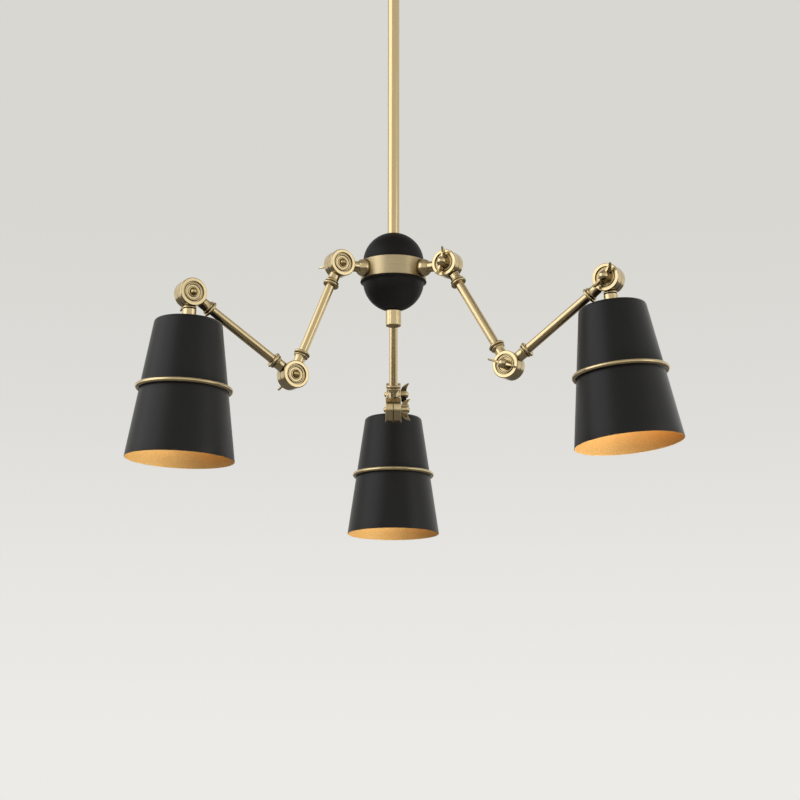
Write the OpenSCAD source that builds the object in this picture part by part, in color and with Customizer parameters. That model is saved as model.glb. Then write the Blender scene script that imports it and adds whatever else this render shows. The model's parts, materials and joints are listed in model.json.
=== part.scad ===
// Three-armed adjustable chandelier: a down rod, a capsule hub and three arms, each with
// three wing-nut hinges and a conical metal shade.
// Origin: centre of the ceiling face. +Z is up, the camera side is -Y.

/* [Suspension] */
// Ceiling face to the middle of the hub band
drop = 470; // [420:5:900]
// Outside diameter of the down rod
rod_d = 16; // [14:0.5:17]
// Wall of the down rod
rod_wall = 1.5; // [1:0.1:2.5]
// Outside diameter of the ceiling canopy
canopy_d = 120; // [110:1:160]
// Height of the ceiling canopy
canopy_h = 28; // [24:1:45]
// Sheet of the ceiling canopy
canopy_wall = 1.2; // [0.8:0.1:2]
// Rounded lower edge of the canopy
canopy_edge = 9; // [4:0.5:12]
// Outside diameter of the collar under the canopy
collar_d = 28; // [24:0.5:40]
// Height of the collar under the canopy
collar_h = 14; // [8:0.5:24]

/* [Ceiling bracket] */
// Length of the bracket strap
strap_l = 98; // [92:1:102]
// Width of the bracket strap
strap_w = 22; // [18:1:26]
// Thickness of the bracket strap
strap_t = 3; // [2:0.25:5]
// Distance between the two ceiling screws
screw_pitch = 56; // [46:1:62]
// Ceiling screw hole
screw_hole_d = 5.5; // [4:0.1:6]
// Distance between the two canopy studs
stud_pitch = 84; // [78:1:88]
// Canopy stud
stud_d = 4; // [3:0.1:5]
// Domed nut on a canopy stud
stud_nut_d = 9; // [7:0.5:12]
// Outside diameter of the socket that holds the rod
rod_boss_d = 24; // [22:0.5:28]
// Depth of the rod in its socket
rod_boss_h = 16; // [10:0.5:18]

/* [Hub] */
// Outside diameter of the dome and the bowl
dome_d = 82; // [76:0.5:90]
// Wall of the dome and the bowl
shell_wall = 2; // [1.2:0.1:3]
// Outside diameter of the band
band_d = 88; // [84:0.5:100]
// Height of the band
band_h = 26; // [22:0.5:36]
// Wall of the band
band_wall = 5.5; // [5:0.1:7]
// Rounded edge of the band
band_edge = 1.3; // [0.3:0.1:1.4]
// Depth of the dome and bowl in the band
seat_depth = 4; // [2:0.25:5]
// Outside diameter of the bowl's lip
lip_d = 89.4; // [86:0.1:100]
// Thickness of the bowl's lip
lip_t = 2; // [1.6:0.1:4]
// Flat at the dome's top and the bowl's foot
flat_d = 18; // [18:0.5:24]
// Pad inside the dome and the bowl, round the tie rod
pad_d = 24; // [22:0.5:32]
// Thickness of that pad
pad_t = 5; // [3:0.25:8]
// Hollow tie rod through the hub
tie_rod_d = 10; // [8:0.25:11]
// Wire way through the tie rod
tie_bore_d = 6; // [4:0.25:7]
// Nut on the tie rod, corner to corner
tie_nut_d = 19; // [16:0.5:22]
// Height of that nut
tie_nut_h = 5; // [4:0.25:8]
// Depth of the tie rod in the down rod and in the finial
tie_grip = 12; // [8:0.5:16]
// Diameter of the finial
finial_d = 21; // [18.5:0.25:26]
// Height of the finial
finial_h = 22; // [18:0.5:32]
// Rounded edge of the finial
finial_edge = 1.6; // [0.5:0.1:3]

/* [Arms] */
// Hub axis to a shoulder hinge
shoulder_r = 82.5; // [76:0.5:100]
// Shoulder hinge to elbow hinge
inner_length = 171; // [140:1:260]
// Elbow hinge to shade hinge
outer_length = 170; // [140:1:260]
// Outside diameter of the arm tubes
tube_d = 12; // [9:0.25:12.5]
// Wall of the arm tubes
tube_wall = 1.2; // [0.8:0.1:2]

/* [Resting pose] */
// Left arm: turn about the hub
left_azimuth = 210; // [200:1:220]
// Left arm: inner link above the outward level
left_inner_angle = -67; // [-85:1:-40]
// Left arm: outer link above the outward level
left_outer_angle = 32; // [10:1:36]
// Left arm: shade axis, outward from plumb
left_tilt = 2.5; // [-4:0.5:20]
// Left arm: turn of the wing nuts at its shoulder, elbow and shade
left_nut_angles = [172, 120, 100]; // [0:1:180]
// Right arm: turn about the hub
right_azimuth = 330; // [320:1:340]
// Right arm: inner link above the outward level
right_inner_angle = -59; // [-85:1:-40]
// Right arm: outer link above the outward level
right_outer_angle = 34.5; // [10:1:38]
// Right arm: shade axis, outward from plumb
right_tilt = 6; // [-4:0.5:20]
// Right arm: turn of the wing nuts at its shoulder, elbow and shade
right_nut_angles = [76, 161, 49]; // [0:1:180]
// Back arm: turn about the hub
back_azimuth = 90; // [80:1:100]
// Back arm: inner link above the outward level
back_inner_angle = -77.5; // [-85:0.5:-40]
// Back arm: outer link above the outward level
back_outer_angle = 18; // [5:1:30]
// Back arm: shade axis, outward from plumb
back_tilt = -2; // [-4:0.5:20]
// Back arm: turn of the wing nuts at its shoulder, elbow and shade
back_nut_angles = [90, 61, 126]; // [0:1:180]

/* [Hinge drums] */
// Diameter of a hinge drum
drum_d = 36; // [34:0.5:40]
// Thickness of one half of a drum
half_t = 11; // [10:0.25:13]
// Rounded outer edge of a drum
drum_edge = 1.2; // [0.4:0.1:2]
// Bevel of a drum at the groove between its halves
groove_bevel = 0.7; // [0.2:0.1:1.5]
// Inner edge of the flat rim round a drum's face
face_rim_d = 27.6; // [26:0.2:30]
// Depth of the face below its rim
face_recess = 2; // [1:0.1:2.4]
// Middle of the large raised ring on both faces
ring_large_d = 21; // [19.6:0.1:21.4]
// Width of the large raised ring
ring_large_w = 2.6; // [2:0.1:3.6]
// Middle of the small raised ring round a bolt's head
ring_small_d = 11.6; // [11.4:0.1:13]
// Width of the small raised ring
ring_small_w = 2.2; // [1.4:0.1:2.6]
// Flat seat of the washer on the wing-nut face
nut_seat_d = 15; // [14.4:0.1:15.6]
// Height of that seat
nut_seat_h = 0.3; // [0.2:0.1:1.4]

/* [Hinge necks] */
// Diameter of a neck
neck_d = 14.5; // [14:0.1:16]
// Drum rim to the end of the collar
collar_l = 16.5; // [15:0.25:24]
// Depth of a tube in its collar
tube_grip = 10; // [6:0.25:11]
// Diameter of the bead at the collar's end
bead_d = 21.6; // [20.4:0.2:24]
// Thickness of that bead
bead_t = 4; // [2.4:0.1:4.2]
// Diameter of the thin ring behind the bead
thin_ring_d = 19; // [18:0.2:19.6]
// Thickness of the thin ring
thin_ring_t = 2.2; // [1.6:0.1:2.6]
// Groove between the thin ring and the bead
bead_groove = 0.7; // [0.3:0.1:1.2]
// Length of the neck's flare towards the thin ring
flare_l = 5.5; // [3:0.25:7]
// Diameter of the ball on a stub, against the hub band
stub_ball_d = 23.5; // [18:0.25:24]
// Middle of that ball to the face of the hub band
stub_ball_gap = 2.5; // [1.5:0.25:4]
// Thread that holds a stub in the band
stub_thread_d = 10; // [8:0.25:11]
// Nut on that thread, corner to corner
stub_nut_d = 19; // [16:0.5:20]
// Height of that nut
stub_nut_h = 5; // [4:0.25:7]
// Thread that shows beyond that nut
stub_thread_end = 1.5; // [0.5:0.1:3]

/* [Bolts and wing nuts] */
// Hinge bolt
bolt_d = 6; // [5:0.1:7]
// Domed head of a hinge bolt
bolt_head_d = 8.8; // [8:0.1:9]
// Height of the domed head
bolt_head_h = 6; // [5.4:0.1:7.4]
// Depth of the bolt head's seat below the ringed face
bolt_sink = 1; // [0.4:0.1:1.5]
// Depth of the bolt in the wing nut
bolt_grip = 8; // [6:0.25:8.5]
// Washer under a wing nut
washer_d = 14.4; // [12:0.2:14.4]
// Thickness of the washer
washer_t = 0.8; // [0.6:0.1:2]
// Diameter of the wing nut's ball-ended boss
boss_d = 13; // [11:0.2:14]
// Height of the wing nut's boss
boss_h = 13.2; // [12:0.2:14]
// Wing nut, tip to tip
wing_span = 38; // [35:0.5:44]
// Height of the wing tips above the nut's foot
wing_rise = 14; // [11:0.2:14]
// Start of a wing's sweep, from the bolt's axis
wing_root = 5; // [4:0.1:5.4]
// Height of a wing at its root
wing_w = 8.4; // [6:0.1:9]
// Height of a wing's foot above the nut's foot
wing_lift = 1; // [0.2:0.1:1]
// Thickness of a wing
wing_t = 2.8; // [2:0.1:4]

/* [Shade] */
// Shade hinge to the shade's top
stem_l = 36.5; // [35:0.25:50]
// Diameter of the stem
stem_d = 17.6; // [16:0.2:20]
// Length of the stem's straight body on the shade
stem_body_l = 15; // [11:0.25:15.5]
// Groove between that body and the ring above it
stem_groove = 0.8; // [0.4:0.1:1.2]
// Thickness of that ring
stem_ring_t = 3.4; // [2.4:0.1:4]
// Height of the shade
shade_h = 175; // [140:1:240]
// Diameter of the shade's top
shade_top_d = 84.2; // [70:0.2:86]
// Diameter of the shade's mouth
shade_mouth_d = 135.4; // [120:0.2:160]
// Sheet of the shade
shade_wall = 1; // [0.8:0.1:2]
// Rounded top edge of the shade
shade_edge = 5; // [3:0.25:10]
// Wire of the ring round the shade
wire_d = 6; // [4:0.25:8]
// Shade top to the ring
ring_drop = 86.5; // [40:0.5:130]

/* [Lampholder] */
// Diameter of the lampholder's skirt
holder_d = 39; // [37:0.5:46]
// Height of the lampholder
holder_h = 54; // [48:0.5:64]
// Diameter of the lampholder's cap
holder_cap_d = 24; // [20:0.5:30]
// Height of the lampholder's cap
holder_cap_h = 12; // [9:0.5:14]
// Wall of the lampholder
holder_wall = 2.2; // [1.5:0.1:3]
// Screw socket for the bulb
socket_bore_d = 26.6; // [26:0.1:28]
// Depth of the screw socket
socket_depth = 26; // [20:0.5:30]
// Insulating base of the screw socket
socket_base_t = 6; // [5:0.25:8]
// Recess in that base
base_recess_d = 18; // [12:0.5:22]
// Depth of the recess
base_recess_t = 3; // [2:0.25:4]
// Centre contact in the recess
contact_d = 8; // [5:0.25:10]
// Height of the centre contact
contact_h = 2; // [0.8:0.1:2]

/* [Fits] */
// Radial clearance of a hinge bolt
bolt_fit = 0.05; // [0.02:0.01:0.1]
// Radial clearance of a fixed fit, such as a tube in its collar
seat_fit = 0.05; // [0.02:0.01:0.15]
// Gap between the two halves of a drum
hinge_gap = 0.3; // [0.2:0.05:0.6]
// Gap between a neck and the other half's rim
rim_gap = 1; // [0.5:0.1:2]
// Gap between flat faces that turn on each other
face_gap = 0.05; // [0.02:0.01:0.1]
// Radial clearance of a through hole for a thread
thread_fit = 0.2; // [0.05:0.05:0.4]

/* [Hidden] */
$fn = 96;
through = 400;
// Overrun of a cut past the face that it opens
cut = 1;
arms = ["left", "right", "back"];
ROOT_NODES = ["ceiling_bracket", "canopy", "canopy_fixings", "rod_collar", "down_rod", "hub_dome",
  "hub_band", "hub_bowl", "hub_tie_rod", "hub_finial", "hub_knuckles", "hub_nuts"];
ARM_NODES = ["inner_upper_knuckle", "inner_tube", "inner_lower_knuckle", "inner_bolts",
  "outer_lower_knuckle", "outer_tube", "outer_upper_knuckle", "shade_stem", "shade_bolt", "shade",
  "shade_ring", "lampholder", "lamp_socket", "shoulder_wing_nut", "elbow_wing_nut", "shade_wing_nut"];

brass = "#b9a06a";
dark_brass = "#8f7a4c";
black = "#2b2a2a";
steel = "#b4b4b0";
gold = "#d9a24f";

// Each arm's turn about the hub, and its pose
function azimuth(arm) = arm == "left" ? left_azimuth : arm == "right" ? right_azimuth : back_azimuth;
function inner_angle(arm) =
  arm == "left" ? left_inner_angle : arm == "right" ? right_inner_angle : back_inner_angle;
function outer_angle(arm) =
  arm == "left" ? left_outer_angle : arm == "right" ? right_outer_angle : back_outer_angle;
function tilt(arm) = arm == "left" ? left_tilt : arm == "right" ? right_tilt : back_tilt;
function nut_angles(arm) =
  arm == "left" ? left_nut_angles : arm == "right" ? right_nut_angles : back_nut_angles;
function shade_angle(arm) = tilt(arm) - 90;

// Hinge centres in an arm's own plane: distance from the hub axis, height above the band's middle
shoulder = [shoulder_r, 0];
function along(angle, length) = length * [cos(angle), sin(angle)];
function elbow(arm) = shoulder + along(inner_angle(arm), inner_length);
function wrist(arm) = elbow(arm) + along(outer_angle(arm), outer_length);

// Radius of an arc that leaves a line at a tangent and moves off it by growth over length
function flare_radius(length, growth) = (length * length + growth * growth) / (2 * growth);

drum_r = drum_d / 2;
neck_r = neck_d / 2;
tube_r = tube_d / 2;
bolt_hole_r = bolt_d / 2 + bolt_fit;
neck_root = drum_r / 2;
collar_end = drum_r + collar_l;
bead_x = collar_end - bead_t / 2;
bead_middle_r = (bead_d - bead_t) / 2;
thin_ring_x = collar_end - bead_t - bead_groove - thin_ring_t / 2;
thin_ring_middle_r = (thin_ring_d - thin_ring_t) / 2;
socket_floor = collar_end - tube_grip;

face_floor = half_t - face_recess;
bolt_seat = face_floor - bolt_sink;
bolt_recess_r = bolt_head_d / 2 + thread_fit;
washer_foot = face_floor + nut_seat_h + face_gap;
nut_foot = washer_foot + washer_t + face_gap;
bolt_tip = nut_foot + bolt_grip;

band_r = band_d / 2;
band_inner_r = band_r - band_wall;
dome_r = dome_d / 2;
dome_base = band_h / 2;
seat_z = dome_base - seat_depth;
flat_z = dome_base + sqrt(dome_r * dome_r - flat_d * flat_d / 4);
pad_z = flat_z - pad_t;
tie_hole_r = tie_rod_d / 2 + thread_fit;
stub_nut_r = stub_nut_d / 2;
stub_x = shoulder_r - band_r;
stub_nut_seat = sqrt(band_inner_r * band_inner_r - stub_nut_r * stub_nut_r) - seat_fit;

rod_r = rod_d / 2;
rod_top = -strap_t;
rod_foot = -drop + flat_z;

stem_body_x = stem_l - seat_fit - stem_body_l;
stem_ring_x = stem_body_x - stem_groove - stem_ring_t / 2;
stem_ring_middle_r = (stem_d - stem_ring_t) / 2;

shade_top_r = shade_top_d / 2;
shade_mouth_r = shade_mouth_d / 2;
flare_angle = atan((shade_mouth_r - shade_top_r) / shade_h);
shade_edge_r = shade_top_r + shade_edge * tan(flare_angle) - shade_edge / cos(flare_angle);
wire_r = wire_d / 2;
ring_r = shade_top_r + ring_drop * tan(flare_angle) + (wire_r + seat_fit) / cos(flare_angle);

holder_top = shade_wall + seat_fit;
holder_end = holder_top + holder_h;
holder_thread_end = holder_top + holder_cap_h - holder_wall;
holder_inner_r = holder_d / 2 - holder_wall;
socket_r = holder_inner_r - seat_fit;
socket_end = holder_end - holder_wall;
socket_base = socket_end - socket_depth;

// Puts a piece drawn round a hinge in place: +X along the link, +Z to the ringed side
module at_hinge(arm, centre, angle) {
  translate([0, 0, -drop])
    rotate([0, 0, azimuth(arm)])
      translate([centre.x, 0, centre.y])
        rotate([-90, 0, 0])
          rotate([0, 0, -angle])
            children();
}

// Puts a piece drawn round the hub's middle in place
module at_hub() {
  translate([0, 0, -drop])
    children();
}

// Turns an outline of radius and distance about the +X axis
module revolve_x() {
  rotate([0, 90, 0])
    rotate_extrude()
      children();
}

// Outline of a drum half, radius and distance from the middle plane, before its face is cut
module drum_outline() {
  edge_r = drum_r - drum_edge;
  edge_z = half_t - drum_edge;
  foot = hinge_gap / 2;
  translate([bolt_hole_r, foot])
    square([edge_r - bolt_hole_r, half_t - foot]);
  polygon([
    [bolt_hole_r, foot],
    [drum_r - groove_bevel, foot],
    [drum_r, foot + groove_bevel],
    [drum_r, edge_z],
    [bolt_hole_r, edge_z]
  ]);
  translate([edge_r, edge_z])
    circle(r = drum_edge);
}

// Raised ring on a drum's face
module ring_outline(middle_d, width) {
  translate([middle_d / 2, face_floor])
    circle(d = width);
}

// Face of a drum: a flat rim round a recess with a large raised ring
module face_outline() {
  difference() {
    drum_outline();
    translate([0, face_floor])
      square([face_rim_d / 2, half_t]);
  }
  ring_outline(ring_large_d, ring_large_w);
}

// Face with a second, small ring round the bolt's domed head
module ringed_outline() {
  difference() {
    union() {
      face_outline();
      ring_outline(ring_small_d, ring_small_w);
    }
    translate([0, bolt_seat])
      square([bolt_recess_r, half_t]);
  }
}

// Face with a flat seat for the wing nut's washer
module nut_outline() {
  face_outline();
  translate([bolt_hole_r, half_t / 2])
    square([nut_seat_d / 2 - bolt_hole_r, face_floor + nut_seat_h - half_t / 2]);
}

// One half of a hinge drum with its neck, which is cut clear of the other half's rim
module knuckle(ringed) {
  difference() {
    union() {
      if (ringed)
        rotate_extrude()
          ringed_outline();
      else
        mirror([0, 0, 1])
          rotate_extrude()
            nut_outline();
      difference() {
        children();
        mirror([0, 0, ringed ? 1 : 0])
          translate([0, 0, -hinge_gap / 2])
            cylinder(r = drum_r + rim_gap, h = through);
      }
    }
    cylinder(r = bolt_hole_r, h = through, center = true);
  }
}

// Neck with a flared and beaded collar that takes an arm tube
module collar_neck() {
  revolve_x()
    difference() {
      union() {
        translate([0, neck_root])
          square([neck_r, thin_ring_x - neck_root]);
        flare_outline(thin_ring_x - flare_l, flare_l, thin_ring_middle_r - neck_r, neck_r);
        translate([thin_ring_middle_r, thin_ring_x])
          circle(d = thin_ring_t);
        translate([0, thin_ring_x])
          square([thin_ring_middle_r, collar_end - thin_ring_x]);
        translate([0, collar_end - bead_t])
          square([bead_middle_r, bead_t]);
        translate([bead_middle_r, bead_x])
          circle(d = bead_t);
      }
      translate([0, socket_floor])
        square([tube_r + seat_fit, tube_grip + cut]);
    }
}

// Concave flare from radius r at distance start, wider by growth after length
module flare_outline(start, length, growth, r) {
  bend = flare_radius(length, growth);
  difference() {
    translate([0, start])
      square([r + growth, length]);
    translate([r + bend, start])
      circle(r = bend);
  }
}

// Neck of a hub stub: a ball, saddle-cut to the hub band, and the thread that goes through the band
module stub_neck() {
  ball_r = stub_ball_d / 2;
  ball_x = stub_x - stub_ball_gap;
  thread_end = shoulder_r - stub_nut_seat + stub_nut_h + stub_thread_end;
  difference() {
    revolve_x() {
      translate([0, neck_root])
        square([neck_r, ball_x - neck_root]);
      intersection() {
        translate([0, ball_x])
          circle(r = ball_r);
        translate([0, ball_x - ball_r])
          square([ball_r, 2 * ball_r]);
      }
    }
    translate([shoulder_r, 0, 0])
      rotate([90, 0, 0])
        cylinder(r = band_r + seat_fit, h = through, center = true);
  }
  translate([ball_x, 0, 0])
    rotate([0, 90, 0])
      cylinder(d = stub_thread_d, h = thread_end - ball_x);
}

// Three stubs, each with the wing-nut half of a shoulder hinge
module hub_knuckles() {
  color(brass)
    for (arm = arms)
      at_hinge(arm, shoulder, 180)
        knuckle(ringed = false)
          stub_neck();
}

// Ceiling strap with the socket that holds the rod
module ceiling_bracket() {
  color(steel)
    difference() {
      union() {
        intersection() {
          translate([0, 0, -strap_t / 2])
            cube([strap_l, strap_w, strap_t], center = true);
          translate([0, 0, -strap_t])
            cylinder(d = strap_l, h = strap_t);
        }
        translate([0, 0, -strap_t - rod_boss_h])
          cylinder(d = rod_boss_d, h = rod_boss_h + strap_t / 2);
      }
      translate([0, 0, rod_top - rod_boss_h - cut])
        cylinder(r = rod_r + seat_fit, h = rod_boss_h + cut);
      cylinder(d = rod_d - 2 * rod_wall, h = through, center = true);
      for (side = [-1, 1]) {
        translate([side * screw_pitch / 2, 0, 0])
          cylinder(d = screw_hole_d, h = 4 * strap_t, center = true);
        translate([side * stud_pitch / 2, 0, 0])
          cylinder(r = stud_d / 2 + seat_fit, h = 4 * strap_t, center = true);
      }
    }
}

// Outline of the canopy's outside, drawn in by inset
module canopy_outline(inset) {
  r = canopy_d / 2 - inset;
  edge = canopy_edge - inset;
  foot = -canopy_h + inset;
  translate([0, foot])
    square([r - edge, canopy_h]);
  translate([0, foot + edge])
    square([r, canopy_h]);
  translate([r - edge, foot + edge])
    circle(r = edge);
}

module canopy() {
  color(brass)
    difference() {
      rotate_extrude()
        intersection() {
          difference() {
            canopy_outline(0);
            canopy_outline(canopy_wall);
          }
          translate([rod_r + thread_fit, -canopy_h])
            square([canopy_d, canopy_h]);
        }
      for (side = [-1, 1])
        translate([side * stud_pitch / 2, 0, -canopy_h])
          cylinder(r = stud_d / 2 + thread_fit, h = 4 * canopy_wall, center = true);
    }
}

// Two studs from the strap, each with a domed nut that holds the canopy up
module canopy_fixings() {
  stud_tip = -canopy_h - stud_nut_d / 2;
  color(brass)
    for (side = [-1, 1])
      translate([side * stud_pitch / 2, 0, 0]) {
        translate([0, 0, stud_tip])
          cylinder(d = stud_d, h = -stud_tip);
        translate([0, 0, -canopy_h - seat_fit])
          rotate_extrude()
            intersection() {
              circle(d = stud_nut_d);
              translate([0, -stud_nut_d])
                square(stud_nut_d);
            }
      }
}

module rod_collar() {
  color(brass)
    translate([0, 0, -canopy_h - collar_h - seat_fit])
      difference() {
        rotate_extrude()
          difference() {
            square([collar_d / 2, collar_h]);
            translate([collar_d / 2, 0])
              circle(r = collar_h / 3);
          }
        cylinder(r = rod_r + seat_fit, h = through, center = true);
      }
}

// Down rod, hollow for the wires, with a narrow tapped foot for the tie rod
module down_rod() {
  color(brass)
    difference() {
      translate([0, 0, rod_foot])
        cylinder(r = rod_r, h = rod_top - rod_foot - seat_fit);
      translate([0, 0, rod_foot + tie_grip + seat_fit])
        cylinder(r = rod_r - rod_wall, h = drop);
      translate([0, 0, rod_foot - cut])
        cylinder(r = tie_rod_d / 2 + seat_fit, h = drop);
    }
}

// Hemisphere shell with a skirt that drops into the band and a flat for the tie rod
module shell_outline() {
  difference() {
    intersection() {
      union() {
        translate([0, dome_base])
          circle(r = dome_r);
        translate([0, seat_z])
          square([dome_r, seat_depth]);
      }
      translate([tie_hole_r, seat_z])
        square([dome_r, flat_z - seat_z]);
    }
    difference() {
      union() {
        translate([0, dome_base])
          circle(r = dome_r - shell_wall);
        translate([0, seat_z - cut])
          square([dome_r - shell_wall, seat_depth + cut]);
      }
      translate([0, pad_z])
        square([pad_d / 2, pad_t]);
    }
  }
}

module hub_dome() {
  color(black)
    at_hub()
      rotate_extrude()
        shell_outline();
}

// The dome's twin, turned over, with a lip under the band that sweeps into the bowl
module hub_bowl() {
  lip_r = lip_t / 2;
  lip_x = lip_d / 2 - lip_r;
  lip_z = dome_base + seat_fit;
  sweep = lip_x - dome_r + shell_wall / 4;
  color(black)
    at_hub()
      mirror([0, 0, 1])
        rotate_extrude() {
          shell_outline();
          translate([lip_x, lip_z + lip_r])
            circle(r = lip_r);
          difference() {
            translate([lip_x - sweep, lip_z])
              square([sweep, lip_t + sweep]);
            translate([lip_x, lip_z + lip_t + sweep])
              circle(r = sweep);
          }
        }
}

// Ring between the dome and the bowl, stepped to hold both, drilled for the three stubs
module hub_band() {
  color(brass)
    at_hub()
      difference() {
        rotate_extrude()
          difference() {
            union() {
              translate([band_inner_r, -band_h / 2])
                square([band_wall - band_edge, band_h]);
              translate([band_inner_r, band_edge - band_h / 2])
                square([band_wall, band_h - 2 * band_edge]);
              for (side = [-1, 1])
                translate([band_r - band_edge, side * (band_h / 2 - band_edge)])
                  circle(r = band_edge);
            }
            for (side = [0, 1])
              mirror([0, side])
                translate([0, seat_z - seat_fit])
                  square([dome_r + seat_fit, seat_depth * 2]);
          }
        for (arm = arms)
          rotate([0, 0, azimuth(arm)])
            rotate([0, 90, 0])
              cylinder(r = stub_thread_d / 2 + thread_fit, h = band_d);
      }
}

// Hollow threaded rod that clamps the dome, the band and the bowl together
module hub_tie_rod() {
  color(steel)
    at_hub()
      difference() {
        cylinder(d = tie_rod_d, h = 2 * (flat_z + tie_grip), center = true);
        cylinder(d = tie_bore_d, h = through, center = true);
      }
}

module hub_finial() {
  edge_r = finial_d / 2 - finial_edge;
  color(brass)
    at_hub()
      translate([0, 0, -flat_z - finial_h])
        difference() {
          rotate_extrude() {
            square([edge_r, finial_h]);
            translate([0, finial_edge])
              square([finial_d / 2, finial_h - 2 * finial_edge]);
            for (z = [finial_edge, finial_h - finial_edge])
              intersection() {
                translate([edge_r, z])
                  circle(r = finial_edge);
                square([finial_d, finial_h]);
              }
          }
          translate([0, 0, finial_h - tie_grip - seat_fit])
            cylinder(r = tie_rod_d / 2 + seat_fit, h = through);
        }
}

// Hexagon nuts: two on the tie rod and one on each stub, inside the hub
module hub_nuts() {
  color(steel)
    at_hub() {
      for (side = [0, 1])
        mirror([0, 0, side])
          translate([0, 0, pad_z - tie_nut_h - seat_fit])
            hex_nut(tie_nut_d / 2, tie_nut_h, tie_rod_d / 2 + seat_fit);
      for (arm = arms)
        rotate([0, 0, azimuth(arm)])
          translate([stub_nut_seat - stub_nut_h, 0, 0])
            rotate([0, 90, 0])
              hex_nut(stub_nut_r, stub_nut_h, stub_thread_d / 2 + seat_fit);
    }
}

module hex_nut(r, height, hole_r) {
  difference() {
    cylinder(r = r, h = height, $fn = 6);
    cylinder(r = hole_r, h = through, center = true);
  }
}

// Bolt with a domed head on the ringed face, and its washer on the wing-nut face
module bolt_set() {
  head_r = bolt_head_d / 2;
  head_foot = bolt_seat + seat_fit;
  dome_z = head_foot + bolt_head_h - head_r;
  rotate_extrude() {
    translate([0, -bolt_tip])
      square([bolt_d / 2, bolt_tip + dome_z]);
    translate([0, head_foot])
      square([head_r, bolt_head_h - head_r]);
    intersection() {
      translate([0, dome_z])
        circle(r = head_r);
      translate([0, dome_z])
        square(head_r);
    }
  }
  translate([0, 0, -washer_foot - washer_t])
    difference() {
      cylinder(d = washer_d, h = washer_t);
      cylinder(r = bolt_hole_r, h = through, center = true);
    }
}

// Outline of one wing, a crescent between two arcs that meet at its tip
module wing_outline() {
  low_arc = wing_span / 2 - wing_root;
  low_z = wing_lift + low_arc;
  reach = sqrt(low_arc * low_arc - pow(low_z - wing_rise, 2));
  high_z = wing_lift + wing_w;
  high_arc = flare_radius(reach, wing_rise - high_z);
  intersection() {
    difference() {
      translate([wing_root, low_z])
        circle(r = low_arc);
      translate([wing_root, high_z + high_arc])
        circle(r = high_arc);
    }
    square([wing_span, low_z]);
  }
}

// Wing nut on the -Z side of a hinge, with a ball-ended boss and its wings along X
module wing_nut() {
  ball_r = boss_d / 2;
  mirror([0, 0, 1])
    translate([0, 0, nut_foot])
      difference() {
        union() {
          rotate_extrude()
            intersection() {
              union() {
                square([ball_r, boss_h - ball_r]);
                translate([0, boss_h - ball_r])
                  circle(r = ball_r);
              }
              square([ball_r, boss_h]);
            }
          for (side = [0, 1])
            rotate([90, 0, 180 * side])
              linear_extrude(height = wing_t, center = true)
                wing_outline();
        }
        translate([0, 0, -cut])
          cylinder(r = bolt_hole_r, h = bolt_grip + thread_fit + cut);
      }
}

module arm_tube(length) {
  floor_gap = socket_floor + seat_fit;
  translate([floor_gap, 0, 0])
    rotate([0, 90, 0])
      difference() {
        cylinder(r = tube_r, h = length - 2 * floor_gap);
        translate([0, 0, -cut])
          cylinder(r = tube_r - tube_wall, h = length);
      }
}

// Inner link: both its hinge halves are ringed and hold a bolt
module inner_upper_knuckle(arm) {
  color(brass)
    at_hinge(arm, shoulder, inner_angle(arm))
      knuckle(ringed = true)
        collar_neck();
}

module inner_tube(arm) {
  color(brass)
    at_hinge(arm, shoulder, inner_angle(arm))
      arm_tube(inner_length);
}

module inner_lower_knuckle(arm) {
  color(brass)
    at_hinge(arm, elbow(arm), inner_angle(arm) + 180)
      knuckle(ringed = true)
        collar_neck();
}

module inner_bolts(arm) {
  color(dark_brass) {
    at_hinge(arm, shoulder, 0)
      bolt_set();
    at_hinge(arm, elbow(arm), 0)
      bolt_set();
  }
}

// Outer link: both its hinge halves carry a wing nut
module outer_lower_knuckle(arm) {
  color(brass)
    at_hinge(arm, elbow(arm), outer_angle(arm))
      knuckle(ringed = false)
        collar_neck();
}

module outer_tube(arm) {
  color(brass)
    at_hinge(arm, elbow(arm), outer_angle(arm))
      arm_tube(outer_length);
}

module outer_upper_knuckle(arm) {
  color(brass)
    at_hinge(arm, wrist(arm), outer_angle(arm) + 180)
      knuckle(ringed = false)
        collar_neck();
}

// Shade head: a ringed half whose neck is the stem, with a thread through the shade's top
module shade_stem(arm) {
  color(brass)
    at_hinge(arm, wrist(arm), shade_angle(arm))
      knuckle(ringed = true)
        revolve_x() {
          translate([0, neck_root])
            square([neck_r, stem_body_x - neck_root]);
          translate([stem_ring_middle_r, stem_ring_x])
            circle(d = stem_ring_t);
          translate([0, stem_ring_x - stem_ring_t / 2])
            square([stem_ring_middle_r, stem_ring_t]);
          translate([0, stem_body_x])
            square([stem_d / 2, stem_body_l]);
          square([tie_rod_d / 2, stem_l + holder_thread_end]);
        }
}

module shade_bolt(arm) {
  color(dark_brass)
    at_hinge(arm, wrist(arm), 0)
      bolt_set();
}

// Outline of the shade's outside, drawn in by inset; distance is from the shade's top
module shade_outline(inset, mouth) {
  edge = shade_edge - inset;
  side_r = shade_edge_r + edge * cos(flare_angle);
  side_x = shade_edge - edge * sin(flare_angle);
  polygon([
    [0, inset],
    [shade_edge_r, inset],
    [side_r, side_x],
    [side_r + (mouth - side_x) * tan(flare_angle), mouth],
    [0, mouth]
  ]);
  translate([shade_edge_r, shade_edge])
    circle(r = edge);
}

module shade(arm) {
  color(black)
    at_hinge(arm, wrist(arm), shade_angle(arm))
      translate([stem_l, 0, 0])
        revolve_x()
          intersection() {
            difference() {
              shade_outline(0, shade_h);
              shade_outline(shade_wall, shade_h + cut);
            }
            translate([tie_hole_r, 0])
              square([shade_mouth_d, shade_h]);
          }
}

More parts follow.
